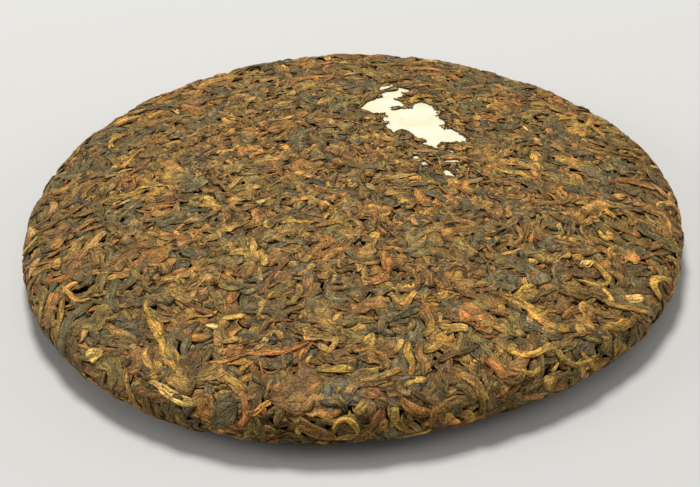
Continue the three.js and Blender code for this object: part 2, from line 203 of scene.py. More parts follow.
# Leaves that stand out in the photograph: kind, colour, place seen from above, heading in degrees from +X,
# length, width, and how far the leaf turns from end to end in degrees. Places are from PHOTO_ORIGIN.
PHOTO_ORIGIN = (0.94, 1.02)
SEEN_LEAVES = (
    ("rolled", "gold", -50, -70, -67, 23, 4, 6),
    ("broad", "rust", -47.5, -64.5, -40, 5, 3.4, 0),
    ("bud", "gold", -36, -83, 30, 6, 3, 0),
    ("rolled", "gold", -31.5, -85.5, -42, 11, 3.6, 10),
    ("rolled", "cream", -46.5, -87, -33, 16, 2.8, 18),
    ("broad", "rust", -38, -92, -60, 8, 5, 0),
    ("broad", "slate", -33.5, -94, 20, 8, 6.5, 0),
    ("rolled", "rust", -28.5, -94, -90, 12, 2.2, -130),
    ("rolled", "gold", -24.5, -94, 20, 8, 2, 90),
    ("rolled", "rust", -24.5, -76.5, 8, 27, 2.6, 25),
    ("broad", "rust", -31, -75, 30, 5.5, 4.2, 0),
    ("bud", "gold", -32, -63.5, 5, 6.5, 2.2, 0),
    ("bud", "gold", -23.5, -73, 50, 7.5, 2.2, 20),
    ("broad", "rust", -40, -69.5, 10, 6, 3.2, 0),
    ("bud", "cream", -37.5, -66, -35, 4.5, 2, 0),
    ("bud", "gold", -32.5, -71.5, 0, 5.5, 2, 0),
    ("rolled", "tan", -62, -64.5, -47, 14, 3, 15),
    ("bud", "gold", -72, -62.5, 60, 6.5, 2.6, 0),
    ("broad", "cream", -69, -70, 20, 5.5, 4, 0),
    ("bud", "gold", -66, -5, 28, 8.5, 2, 15),
    ("stem", "redbrown", -66, 13, 51, 15, 1.6, 0),
    ("rolled", "rust", -83, -37, 0, 14, 3, 150),
    ("rolled", "gold", -77.5, -45.5, -40, 14, 1.8, 90),
    ("bud", "gold", -92, -29.5, 65, 8, 2.6, 0),
    ("bud", "gold", -74, -23, 60, 10, 2.6, 0),
    ("rolled", "rust", -84, -24, 32, 12, 2.4, 10),
    ("rolled", "rust", -79, -14.3, 27, 9, 2.2, 20),
    ("broad", "rust", -86, -21, 50, 5.5, 3.4, 0),
    ("rolled", "slate", -50, -16, 5, 19, 3.6, -10),
    ("rolled", "slate", -49, -19.5, 8, 18, 3.6, 12),
    ("rolled", "slate", -48, -22.8, 3, 15, 3.2, 20),
    ("rolled", "tan", -41, -14.3, -27, 8, 2.2, 0),
    ("rolled", "slate", -43.5, -35, -36, 12, 3.8, 0),
    ("broad", "gold", -35, -34, -20, 5.5, 4.2, 0),
    ("rolled", "olive", -31, -34.5, 95, 9, 3.2, 10),
    ("bud", "rust", -48, -43, 20, 4.5, 2.2, 0),
    ("bud", "gold", -28.5, -6, -5, 5, 2.2, 0),
    ("broad", "tan", -32, -10.5, 12, 9, 4.2, 0),
    ("bud", "cream", -26, -13.5, 40, 3.5, 2.6, 0),
    ("rolled", "gold", -14, -13.5, 28, 10, 2.2, -70),
    ("bud", "gold", -14, 0, -30, 8, 2.2, 10),
    ("rolled", "gold", -16, -24.5, -15, 13, 2.2, 75),
    ("rolled", "tan", -6, -26, 20, 9, 2.6, -20),
    ("bud", "gold", 16, -3, 18, 9.5, 2.2, 0),
    ("bud", "gold", 14, 5, 20, 4.5, 2.2, 0),
    ("broad", "gold", 1, -6, 0, 3.2, 2.8, 0),
    ("rolled", "tan", 14, -12.5, 0, 8, 2.6, 0),
    ("bud", "gold", -27.5, -35.5, 95, 9, 2, 10),
    ("bud", "gold", -24, -41.5, 90, 5.5, 2, 0),
    ("rolled", "slate", -18, -35, 5, 12, 2.2, 0),
    ("rolled", "tan", -19, -38, -3, 10, 2, 0),
    ("stem", "redbrown", -21.5, -48.5, 60, 16, 2, -25),
    ("bud", "gold", -16, -44, 30, 3.6, 2.2, 0),
    ("bud", "gold", -11, -46, 60, 3.6, 2.2, 0),
    ("rolled", "rust", 13.5, -43.5, -15, 8.5, 3, 10),
    ("rolled", "rust", 14, -39, 0, 12, 1.7, 20),
    ("rolled", "tan", 6, -37.5, 90, 7.5, 2.2, 15),
    ("broad", "rust", 6.5, -50, 10, 7.5, 4.2, 0),
    ("broad", "brown", -19.5, -56, 20, 9, 7, 0),
    ("broad", "brown", 0, -55, 5, 13, 7, 0),
    ("rolled", "gold", 20, -35, 45, 7, 2, 110),
    ("bud", "gold", 15.5, -59, 60, 7.5, 2.2, 0),
    ("bud", "gold", 13.5, -61, 120, 5.5, 2, 0),
    ("rolled", "slate", 25.3, -12.8, -45, 13, 2.6, 12),
    ("rolled", "olive", 42.8, 13.2, 31, 16, 3.2, 12),
    ("rolled", "tan", 54.3, 23.5, 25, 13, 3, -10),
    ("bud", "gold", 52.3, 6.2, -50, 8.5, 2.2, 0),
    ("bud", "gold", 54.4, 4.4, -48, 8.5, 2.2, 0),
    ("bud", "cream", 81, -7, 10, 4.5, 2.4, 0),
    ("broad", "gold", 73.5, -28.5, 20, 4.6, 4, 0),
    ("rolled", "gold", 68.5, -46, 90, 17, 2.2, 250),
    ("broad", "cream", 65.5, -42, 40, 5.5, 3, 0),
    ("rolled", "gold", 86, -47, 70, 14, 2.6, -170),
    ("bud", "cream", 77, -55, 20, 6.5, 3, 0),
    ("rolled", "gold", 71, -65, 25, 10, 3, 10),
    ("broad", "slate", 49.5, -68.5, -22, 13, 5, 0),
    ("rolled", "gold", 48.5, -63, -32, 23, 3.8, 14),
    ("broad", "olive", 43, -67.5, -78, 9.5, 4.2, 0),
    ("bud", "gold", 26.5, -69.5, -10, 8.5, 3, 0),
    ("rolled", "tan", 57.5, -77.5, -8, 17, 2.2, 110),
    ("rolled", "gold", 44, -83, 0, 11, 2, 120),
    ("rolled", "rust", 36.5, -82.5, -60, 9, 3, 15),
    ("broad", "gold", 50.5, -84, 40, 5.2, 4, 0),
    ("bud", "gold", 48.5, -89, 10, 7.5, 2.2, 0),
    ("bud", "rust", 48, -91.5, 12, 7.5, 2.2, 0),
    ("broad", "rust", 56, -86.5, 30, 5.5, 3.2, 0),
    ("broad", "gold", 24, -96, -20, 8.5, 4.2, 0),
    ("rolled", "tan", 29.5, -97.5, -35, 7, 3, 0),
    ("rolled", "gold", 3, -75, 50, 8.5, 3, 25),
    ("bud", "gold", -5.5, -75.5, 60, 6.5, 2.2, 0),
    ("bud", "gold", -7.5, -76.5, 130, 5.5, 2.2, 0),
    ("rolled", "gold", 14.3, -80, 92, 12, 2.2, 8),
    ("rolled", "tan", 17.4, -80, 90, 12, 3, -6),
    ("bud", "gold", 11.5, -76, 70, 5.5, 2.2, 0),
    ("rolled", "gold", 21, -76, 30, 8, 2.2, 100),
    ("rolled", "olive", 0.5, -67, 0, 11, 2.7, 0),
    ("rolled", "rust", 15.5, -95, -30, 11, 2.7, 55),
    ("rolled", "gold", -2.5, -99, 0, 12, 2, -230),
    ("bud", "gold", 1.5, -95, 60, 5.5, 3, 0),
    ("rolled", "gold", -5, -83, -15, 10, 2.6, 12),
    ("broad", "slate", -4.5, -90, 80, 10.5, 8, 0),
    ("broad", "brown", -15, -89, 20, 14, 11, 0),
    ("bud", "rust", 23.5, 11.5, 0, 8, 2.2, 10),
    ("rolled", "gold", 26, 51, 0, 8, 2.2, -60),
    ("rolled", "gold", 6, 21.5, 0, 13, 2.5, 0),
    ("rolled", "tan", 9, 12.5, 0, 13, 2.7, 10),
)
# How much bare weight they may cover, and how much of them a later leaf may
SEEN_SPARE = 99
SEEN_OVERLAP = 5

# The ticket: its place and size, its thickness, how high it lies over the smoothed leaves under it, and how
# far it is sunk away from its windows and in them
TICKET = dict(x=20.5, y=27.5, width=44, length=68, turn=math.radians(20))
TICKET_THICKNESS = 0.25
TICKET_RISE = 0.45
TICKET_SMOOTHING = 1.1
TICKET_SINK = (1.4, 0.5)
TICKET_ROWS, TICKET_COLUMNS = 92, 60
TICKET_OWNER = -2
# The places where it shows, as outlines of x and y pairs
WINDOWS = (
    (12.1, 38, 17.7, 40.1, 21.2, 40.7, 22.2, 45.4, 24.6, 47.3, 26.8, 45.3, 29.4, 37.6, 28.2, 36, 31, 32.4,
     31.6, 30.6, 28.2, 29.2, 29.7, 27.9, 30.1, 25.1, 33.2, 26.7, 35.1, 23.7, 36.7, 20, 36.5, 17.9, 33.3,
     18.6, 27.5, 16.7, 27.5, 13.6, 22.3, 16.4, 26, 17.7, 21.6, 21.4, 18.7, 25.9, 16.3, 26.9, 14.1, 24.9,
     11.4, 27.9, 13.5, 30.8, 10.6, 33.5, 13.2, 34.7),
    (3.5, 40.9, 5.5, 44.6, 7.8, 47.6, 11.9, 50.4, 11, 52, 12.7, 54.4, 17.1, 55.9, 17.9, 51.4, 14.7, 48.8,
     16.1, 47.4, 17.8, 42.5, 13.9, 42.4, 12.9, 38.4, 8.3, 37.9),
    (10.1, 62.6, 15.1, 61.7, 13.7, 57.6, 11.6, 56.4),
    (16.8, 58.4, 18.5, 58.6, 20.6, 56, 19.3, 54.3),
    (19.5, 8.7, 20.3, 8.8, 21.3, 6.9, 20, 7.1),
    (21.7, 4.2, 22.5, 4.8, 23.4, 2.8, 22.2, 2.9),
    (25.4, 5.7, 26.1, 5.4, 26.3, 4),
    (28.9, 5.9, 32, 5.8, 32.6, 6.6, 33, 5.1, 28.9, 5.2),
    (29.9, 12.7, 31.3, 12.6, 32.2, 10.9),
    (28.1, -0.1, 29.1, -0.5, 30.7, -3.4, 28.4, -2.5),
    (31.5, 0.9, 32.3, 2.3, 32.5, -0.4),
)
# The bare weight of a window's cell, and the spread and gain of the change of sink round a window
WINDOW_WEIGHT = 3
WINDOW_FADE = 1.2
WINDOW_GAIN = 8
# The leaves that cover the rest of the ticket. The last half of the tries are scraps.
COVER_TRIES = 2500
COVER_SHARES = dict(rolled=0.4, broad=0.1, crumb=0.5)
SCRAP_LENGTH = (1.6, 3.2)
SCRAP_WIDTH = (0.8, 1.4)
# The leaves along the windows' edges. Edges under LEAST_EDGE have none. A leaf is tried at LONG_EDGE at
# least, then at EDGE_LENGTH times its edge, and last at NARROW_EDGE across.
LEAST_EDGE = 1.2
LONG_EDGE = 6.0
EDGE_LENGTH = 1.2
EDGE_WIDTH = (1.6, 3.0)
NARROW_EDGE = 1.0
EDGE_BEND = 0.1
# How much bare weight they may cover, and the area up to which a window loses none
EDGE_SPARE = 15
SMALL_WINDOW = 8.0

# Pressing, with pairs for the middle and the rim: the spread that smooths the heap, how far points stand
# over that and how softly they stop, and how steeply points under it fall, to GAP_DEPTH and then in gaps
PRESS_SPREAD = 8.0
PRESS_REACH = (0.2, 0.42)
PRESS_SOFTNESS = 0.6
PRESS_SLOPE = (0.34, 0.6)
GAP_DEPTH = 1.2
GAP_SLOPE = (0.4, 0.9)
DEEPEST = 2.5
# The least share inside the map that a smoothed height is divided by
LEAST_INSIDE = 0.05
# How far the pressed leaves lie under the cake's form on top and underneath
TOP_SINK = 0.3
UNDER_SINK = 0.5
# Leaves that show less than these areas are left out, or are made with fewer rings
LEAST_SHOWN = 0.6
WELL_SHOWN = 5.0

# Pieces: the kinds of leaf and the colours that go into each
PIECES = {
    "slate_leaves": (("rolled", "broad"), ("slate",)),
    "dark_leaves": (("rolled", "broad"), ("dark", "redbrown")),
    "brown_leaves": (("rolled", "broad"), ("brown",)),
    "olive_leaves": (("rolled", "broad"), ("olive",)),
    "light_leaves": (("rolled", "broad"), ("tan", "gold", "rust", "cream")),
    "leaf_buds": (("bud",), tuple(COLOURS)),
    "leaf_stems": (("stem",), tuple(COLOURS)),
    "leaf_crumbs": (("crumb",), tuple(COLOURS)),
}
# The core under the leaves
CORE_RINGS, CORE_SEGMENTS = 76, 100
CORE_BUMP = 0.35
CORE_DEPTH = 3.4
# The map of each leaf: what its end caps and its keel add, the space between leaves, and the spare width
# of the square that they are packed into
CAP = 0.3
BACK_SHARE = 0.3
MAP_SPACE = 0.25
PACK_SPARE = 1.02

# Materials of leaves: name, least and most roughness, and sheen
PLAIN_FINISH = ("dry_leaf", (0.5, 0.72), 0)
FINISHES = {
    "slate_leaves": ("slate_leaf", (0.42, 0.62), 0),
    "leaf_buds": ("downy_bud", (0.6, 0.8), 0.2),
    "leaf_stems": ("leaf_stem", (0.4, 0.55), 0),
}
# Patterns on a leaf: how many in a millimetre across and along it, and how far the facets are warped
VEIN_SCALE = (1.8, 0.16)
SPECK_SCALE = (2.4, 1.7)
BLOTCH_SCALE = (0.5, 0.35)
FACET_SCALE = (0.5, 0.16)
FACET_WARP = 2.4
WRINKLE_SCALE = (1.8, 0.5)
# What they multiply the colour by at their least and their most
VEIN_SHADES = (0.55, 1.2)
SPECK_SHADES = (0.34, 1.7)
BLOTCH_SHADES = (0.88, 1.12)
FACET_SHADES = (0.84, 1.16)
FACET_TINTS = ((0.95, 0.96, 0.94), (1.05, 1.06, 1.08))
RUDDY_TINTS = ((1, 1, 1), (1.06, 0.94, 0.88))
# The creases' tint is painted shade: darker and redder along the creases between facets.
CREASE_PAINTED_SHADE = ((0.64, 0.52, 0.46), (1.05, 1.05, 1.05))
# The stretch of each pattern that is used
WHOLE = (0, 1)
NOISE_RANGE = (0.3, 0.7)
VEIN_RANGE = (0.36, 0.52)
RUDDY_RANGE = (0.6, 1)
CREASE_RANGE = (0, 0.09)
CREASE_SLOPE = (0, 0.25)
# Bumps: height in millimetres and strength, for wrinkles without veins and with all of them
CREASE_BUMP = (0.3, 0.9)
WRINKLE_HEIGHT, WRINKLE_STRENGTHS = 0.6, (0.1, 0.9)
CORE_HEIGHT = 0.6
PAPER_BUMP = (0.25, 0.6)
# The core and the paper: the two stops of their colours, and their patterns
# The core's colours are dark as painted shade in the gaps between leaves where it shows.
CORE_SHADED_STOPS = ((0.35, (46, 35, 21)), (0.7, (84, 64, 38)))
CORE_NOISE = 260
PAPER_STOPS = ((0.3, (203, 199, 163)), (0.62, (221, 218, 194)))
STAIN_SCALE = (0.09, 0.09)
FIBRE_SCALE, FIBRE_SHADES = (1.1, 0.8), (0.95, 1.03)
CRUMPLE_SCALE = (0.55, 0.4)

# The camera stands where the photograph was taken from. Angles are in degrees, lengths in millimetres.
PHOTO_WIDTH = 700
FOCUS_PIXELS = 1400
CAMERA_RISE = 33.34
CAMERA_DISTANCE = 429.69
CAMERA_ROLL = 1.83
CAMERA_AIM_HEIGHT = 10
CAMERA_AIM_PIXELS = (0.64, -33.27)
SENSOR = 36
# The studio, in metres. Lights: name, place, size, power, colour.
FLOOR_HALF = 3
LIGHTS = (
    ("window", (-0.15, 0.95, 2.1), 0.7, 57, (1, 0.98, 0.95)),
    ("fill", (0.4, -0.2, 1.4), 1.2, 2, (1, 0.98, 0.96)),
    ("side_left", (-1.4, 0, 0.5), 0.8, 9, (1, 0.98, 0.96)),
    ("side_right", (1.4, 0, 0.5), 0.8, 5, (1, 0.98, 0.96)),
)
WORLD_STRENGTH = 0.26


def between(pair, share):
    return pair[0] + (pair[1] - pair[0]) * share


def looseness(way):
    """From 0 where the cake is pressed flat, round its middle, to 1 near its rim."""
    return np.interp(way, LOOSE_RIM, (0, 1))


def linear(colour):
    """A colour from 0 to 255 as the light that it stands for."""
    share = np.asarray(colour, float) / 255
    return np.where(share <= 0.04045, share / 12.92, ((share + 0.055) / 1.055) ** 2.4)


def choose(rng, shares):
    names = list(shares)
    weights = np.array([shares[name] for name in names])
    return names[rng.choice(len(names), p=weights / weights.sum())]


def nearness(places, spread):
    """How near places on a line are to one another, from 1 down to 0 far beyond the spread."""
    return np.exp(-((np.subtract.outer(places, places) / spread) ** 2))


def smooth_noise(rng, shape, *spreads):
    """Random numbers of about unit size, smoothed along the first axis, and along the second if asked."""
    noise = rng.standard_normal(shape)
    for spread in spreads:
        weights = nearness(np.arange(noise.shape[0]), spread)
        weights /= np.sqrt((weights**2).sum(axis=1, keepdims=True))
        noise = (weights @ noise).T
    return noise if len(spreads) == 2 else noise.T


def waver(rng, share, turns):
    """A wave along a leaf, of a random length and start."""
    return np.sin(math.tau * (share * rng.uniform(*turns) + rng.random()))


def blurred(field, spread):
    """A field of cells smoothed over a spread in millimetres."""
    turns = np.fft.fftfreq(field.shape[0], CELL)
    keep = np.exp(-2 * (math.pi * spread * turns) ** 2)
    return np.fft.ifft2(np.fft.fft2(field) * np.outer(keep, keep)).real


@functools.cache
def mixes(fine, coarse):
    """Weights that read a row of coarse points at evenly spaced fine ones."""
    at = np.linspace(0, coarse - 1, fine)
    low = np.minimum(at.astype(int), coarse - 2)
    weights = np.zeros((fine, coarse))
    weights[np.arange(fine), low] = 1 - (at - low)
    weights[np.arange(fine), low + 1] += at - low
    return weights


class Profile:
    """The cake's profile, from the middle of the top over the rim to the middle of the hollow."""

    def __init__(self):
        share = np.linspace(0, 1, PROFILE_STEPS, endpoint=False)
        quarter = share * math.pi / 2
        dome_fall = (CENTRE_HEIGHT - SHOULDER_HEIGHT) * share**DOME_POWER
        shoulder = CAKE_RADIUS - SHOULDER_RADIUS
        foot = CAKE_RADIUS - FOOT_RADIUS
        inward = HOLLOW_RADIUS * (1 - np.linspace(0, 1, PROFILE_STEPS))
        self.radius = np.concatenate([
            SHOULDER_RADIUS * share,
            SHOULDER_RADIUS + shoulder * np.sin(quarter),
            FOOT_RADIUS + foot * np.cos(quarter),
            FOOT_RADIUS + (HOLLOW_RADIUS - FOOT_RADIUS) * share,
            inward,
        ])
        self.height = np.concatenate([
            CENTRE_HEIGHT - dome_fall,
            WIDEST_HEIGHT + (SHOULDER_HEIGHT - WIDEST_HEIGHT) * np.cos(quarter),
            WIDEST_HEIGHT * (1 - np.sin(quarter)),
            0 * share,
            HOLLOW_DEPTH * (1 + np.cos(math.pi * inward / HOLLOW_RADIUS)) / 2,
        ])
        steps = np.hypot(np.diff(self.radius), np.diff(self.height))
        self.reach = np.concatenate([[0], np.cumsum(steps)])
        self.whole = self.reach[-1]
        out, rise = np.gradient(self.radius, self.reach), np.gradient(self.height, self.reach)
        size = np.hypot(out, rise)
        self.normal_out, self.normal_up = -rise / size, out / size

    def at(self, reach):
        columns = (self.radius, self.height, self.normal_out, self.normal_up)
        return [np.interp(reach, self.reach, column) for column in columns]


PROFILE = Profile()


def outline_scale(angle):
    """How much wider than a circle the cake is in a direction."""
    waves = sum(c * np.cos(k * angle) + s * np.sin(k * angle) for k, c, s in OUTLINE_WAVES)
    return 1 + waves / CAKE_RADIUS


def on_cake(across, up, lift, under):
    """Points in space, in millimetres, of points of a flat map. Lift is the height off the cake's form."""
    angle = np.arctan2(up, across)
    way = np.hypot(across, up)
    radius, height, normal_out, normal_up = PROFILE.at(PROFILE.whole - way if under else way)
    radius = radius * outline_scale(angle) + normal_out * lift
    height = np.maximum(height + normal_up * lift, 0)
    return np.stack([radius * np.cos(angle), radius * np.sin(angle), height], axis=-1)


def to_map(x, y):
    """The place on the top's map of a point of the top face that is seen from above."""
    angle = np.arctan2(y, x)
    radius = np.hypot(x, y) / outline_scale(angle)
    upper = slice(0, 2 * PROFILE_STEPS + 1)
    reach = np.interp(radius, PROFILE.radius[upper], PROFILE.reach[upper])
    return reach * np.cos(angle), reach * np.sin(angle)


class Leaf:
    """One leaf: rings of points across it, from end to end, with the keel under it as the last point of
    each. Rise is the height of its upper side, and folds are its creases and crumples, which pressing
    leaves as they are."""

    def __init__(self, rng, kind, colour, place, heading, size=None, bend=None):
        form = KINDS[kind]
        self.kind, self.colour, self.form = kind, colour, form
        self.loose = looseness(math.hypot(*place))
        length = rng.uniform(*form["length"]) * between(LENGTH_GAIN, self.loose)
        self.length, self.width = size or (length, rng.uniform(*form["width"]))
        self.thick = rng.uniform(*form["thick"])
        rings = int(np.clip(round(self.length / RING_STEP) + 1, *RINGS))
        self.tops = int(np.clip(round(self.width / COLUMN_STEP) + 1, *COLUMNS))
        self.side = np.sin(np.linspace(-1, 1, self.tops) * math.pi / 2)
        share = np.linspace(0, 1, rings)
        self.way = share * self.length
        if bend is None:
            bend = form["bend"] * rng.standard_normal()
        across, up, turned = self.spine(rng, share, place, heading, bend)
        narrow, reach = self.outline(rng, share)
        self.across = np.column_stack([across[:, None] - reach * np.sin(turned)[:, None], across])
        self.up = np.column_stack([up[:, None] + reach * np.cos(turned)[:, None], up])
        crown = np.maximum(0, 1 - np.abs(self.side) ** CROWN_POWER) ** form["crown"]
        self.rise = self.thick * narrow * between(RISE_SHARES, crown)
        self.folds = narrow * self.folded(rng, share[:, None], self.side[None, :])

    def spine(self, rng, share, place, heading, bend):
        """The line along the leaf's middle, and where it heads at each ring."""
        sway = waver(rng, share, SWAY_TURNS)
        wobble = self.form["wobble"] * rng.uniform(*WOBBLE_SHARE) * sway
        turned = heading + bend * (share - 0.5) + wobble - wobble.mean()
        step = self.length / (len(share) - 1)
        across, up = np.cumsum(np.cos(turned)) * step, np.cumsum(np.sin(turned)) * step
        return across + (place[0] - across.mean()), up + (place[1] - up.mean()), turned

    def outline(self, rng, share):
        """How narrow each ring is, from 0 to 1, and how far its points reach from the middle."""
        start, end = rng.uniform(*self.form["taper"], 2)
        tapers = ((share / start, TAPER_POWERS[0]), ((1 - share) / end, TAPER_POWERS[1]))
        narrow = between((END_WIDTH, 1), math.prod(np.minimum(1, way) ** power for way, power in tapers))
        rough = self.form["rough"] * between(ROUGH_GAIN, self.loose)
        noise = smooth_noise(rng, (len(share), 2), ROUGH_SPREAD).clip(*ROUGH_LIMITS)
        widths = (1 + rough * noise).clip(*WIDTH_LIMITS)
        half = self.width / 2 * narrow[:, None] * np.where(self.side < 0, widths[:, :1], widths[:, 1:])
        return narrow[:, None], half * self.side

    def folded(self, rng, share, side):
        """The creases that wander along the leaf, and its uneven crumples."""
        crumple = self.form["crumple"] * between(CRUMPLE_GAIN, self.loose)
        folds = crumple * smooth_noise(rng, (share.size, side.size), CRUMPLE_SPREAD, CRUMPLE_SPREAD)
        for _ in range(rng.integers(1, self.form["creases"] + 1)):
            middle = rng.uniform(-CREASE_PLACE, CREASE_PLACE)
            sway = rng.uniform(0, CREASE_SWAY) * waver(rng, share, CREASE_TURNS)
            depth = self.form["crease"] * rng.uniform(*CREASE_SHARE)
            folds = folds - depth * np.exp(-(((side - middle - sway) / rng.uniform(*CREASE_WIDTH)) ** 2))
        return folds.clip(*FOLD_LIMITS)

    def upper_places(self):
        return np.stack([self.across[:, : self.tops], self.up[:, : self.tops]])

    def fine(self, values):
        """Values of the upper side read between its points, at the step at which leaves are laid."""
        along = mixes(int(self.length / LAY_STEP) + 2, len(self.way))
        sides = mixes(int(self.width / LAY_STEP) + 2, self.tops)
        return along @ values @ sides.T

    def keep(self, rings):
        """Leaves out all rings but these."""
        for name in ("across", "up", "rise", "folds", "raw", "way"):
            setattr(self, name, getattr(self, name)[rings])

    def thin_out(self):
        """Leaves out every other ring."""
        last = len(self.way) - 1
        self.keep(np.unique([*range(0, last, 2), last]))

    def rest_on(self, support):
        """Sets the leaf's heights: it bridges the dips of what is under it, as far as it is stiff."""
        weights = nearness(self.way, self.form["stiff"])
        weights /= weights.sum(axis=1, keepdims=True)
        lain = weights @ support
        middle = lain.mean(axis=1, keepdims=True)
        lain = lain + self.form["level"] * (middle - lain)
        top = lain + self.rise - SETTLE_SHARE * self.thick
        self.raw = np.concatenate([top, middle - KEEL_SHARE * self.thick], axis=1)

    def colours(self, rng):
        """The leaf's colour at each point, changing along it, with painted shade in its folds, at its edges
        and on its keel, and painted highlight on its raised folds and just inside its edges.
        """
        own = linear(COLOURS[self.colour]) * COLOUR_GAIN
        own = own * np.exp(rng.normal(0, OWN_SPREAD)) * np.exp(rng.normal(0, TINT_SPREAD, 3))
        other = linear(COLOURS[choose(rng, TURNS_TO[self.colour])]) * COLOUR_GAIN
        turning = (TURN_SLOPE * self.way / self.length - TURN_START) * rng.choice([-1, 1])
        along = own + (other - own) * (np.clip(turning, 0, 1) * rng.random())[:, None]
        height = np.clip(self.rise / self.thick, 0, 1)
        fold = np.clip(self.folds / FOLD_LIMITS[1], -1, 1)
        # Raised folds turn towards a lighter worn colour: partly wear, partly painted highlight.
        worn_and_lit = WORN_AND_LIT_SHARE * np.clip(fold, 0, 1) * rng.random()
        top = along[:, None, :] + (linear(WORN_AND_LIT_COLOUR) - along[:, None, :]) * worn_and_lit[:, :, None]
        patches = 1 + PATCH_SHADE * smooth_noise(rng, fold.shape, PATCH_SPREAD, PATCH_SPREAD).clip(-2, 2)
        # Painted shade and light: darker towards the low edges and in creases, lighter on the crown and on
        # raised folds. The patches are random tone.
        top = top * ((LOW_PAINTED_SHADE + CROWN_PAINTED_LIGHT * height) * (1 + FOLD_PAINTED_SHADE * fold) * patches)[:, :, None]
        # Painted shade at the low edges, redder there.
        top = top * (1 - np.multiply.outer(1 - height, EDGE_PAINTED_SHADE_TINT))
        # Painted highlight just inside the edges.
        top[:, [1, -2]] *= EDGE_PAINTED_HIGHLIGHT
        # The keel under the leaf is darker: painted shade.
        return np.concatenate([top, KEEL_PAINTED_SHADE * along[:, None, :]], axis=1)


class Bed:
    """A flat map that leaves are laid on, with the height and the owner of each of its cells. Cells that
    stay bare have a weight."""

    def __init__(self, edge, under):
        self.edge, self.under = edge, under
        self.half = int(edge / CELL)
        middle = np.arange(-self.half, self.half + 1) * CELL
        self.across, self.up = np.meshgrid(middle, middle)
        self.inside = np.hypot(self.across, self.up) <= edge
        self.height = np.zeros_like(self.across)
        self.owner = np.full(self.across.shape, -1)
        self.bare = np.zeros(self.across.shape, int)
        self.leaves = []

    def cells(self, across, up):
        """The rows and columns of places on the map."""
        column, row = [
            np.clip(np.rint(way / CELL).astype(int) + self.half, 0, 2 * self.half) for way in (across, up)
        ]
        return row, column

    def lay(self, leaf, spare=0):
        """Lays a leaf on what is there, unless it would cover more bare weight than its spare."""
        places = leaf.upper_places()
        row, column = self.cells(*leaf.fine(places))
        if self.bare[row, column].sum() > spare:
            return False
        leaf.rest_on(self.height[self.cells(*places)])
        tops = leaf.fine(leaf.raw[:, : leaf.tops])
        shows = tops > self.height[row, column]
        self.height[row[shows], column[shows]] = tops[shows]
        self.owner[row[shows], column[shows]] = len(self.leaves)
        self.leaves.append(leaf)
        return True

    def lay_many(self, rng, count, spare=0):
        """Lays leaves of all kinds all over a face."""
        for place in spread_places(rng, count, self.edge):
            loose = looseness(math.hypot(*place))
            kind = choose(rng, {name: between(shares, loose) for name, shares in KIND_SHARES.items()})
            colour = choose(rng, COLOUR_SHARES[kind])
            self.lay(Leaf(rng, kind, colour, place, rng.uniform(0, math.tau)), spare)

    def press(self):
        """Sets the smoothed height of the heap, which pressing measures from."""
        share = blurred(self.inside.astype(float), PRESS_SPREAD)
        heap = blurred(np.where(self.inside, self.height, 0), PRESS_SPREAD)
        self.base = heap / np.maximum(share, LEAST_INSIDE)

    def pressed(self, across, up, raw):
        """The height off the cake's form of points of the heap, once it is pressed."""
        proud = raw - self.base[self.cells(across, up)]
        loose = looseness(np.hypot(across, up))
        slope = between(PRESS_SLOPE, loose)
        over = between(PRESS_REACH, loose) * np.tanh(proud / PRESS_SOFTNESS)
        under = slope * proud + (between(GAP_SLOPE, loose) - slope) * np.minimum(0, proud + GAP_DEPTH)
        sink = UNDER_SINK if self.under else TOP_SINK
        return np.where(proud > 0, over, np.maximum(under, -DEEPEST)) - sink

    def shown_areas(self):
        """The area in square millimetres that each leaf shows."""
        owners = self.owner[self.inside]
        return np.bincount(owners[owners >= 0], minlength=len(self.leaves)) * CELL**2

    def crop(self, number):
        """Leaves out the ends of a leaf that lie hidden under others."""
        leaf = self.leaves[number]
        fine = leaf.fine(leaf.upper_places())
        shows = np.nonzero((self.owner[self.cells(*fine)] == number).any(axis=1))[0]
        rings = len(leaf.way)
        ring = shows[[0, -1]] * (rings - 1) / (fine.shape[1] - 1)
        leaf.keep(np.arange(max(int(ring[0]) - 1, 0), min(math.ceil(ring[1]) + 2, rings)))


def spread_places(rng, count, edge):
    """Places spread evenly over a round map, each near a point of a golden spiral, in random order."""
    index = rng.permutation(count) + 0.5
    way = edge * np.sqrt(index / count)
    angle = index * math.pi * (3 - math.sqrt(5))
    jitter = rng.normal(0, PLACE_SPREAD, (2, count))
    return np.stack([way * np.cos(angle) + jitter[0], way * np.sin(angle) + jitter[1]], axis=1)


def in_outline(x, y, outline):
    """Which points lie inside an outline of x and y pairs."""
    corners = np.reshape(outline, (-1, 2))
    inside = np.zeros(x.shape, bool)
    for (x0, y0), (x1, y1) in zip(corners, np.roll(corners, -1, axis=0)):
        crosses = (y0 > y) != (y1 > y)
        inside ^= crosses & (x < x0 + (y - y0) * (x1 - x0) / (y1 - y0 if y1 != y0 else 1))
    return inside


def on_ticket(across, up):
    """Coordinates of map points on the ticket, in millimetres along its width and its length."""
    turn, x, y = TICKET["turn"], across - TICKET["x"], up - TICKET["y"]
    return x * math.cos(turn) + y * math.sin(turn), y * math.cos(turn) - x * math.sin(turn)


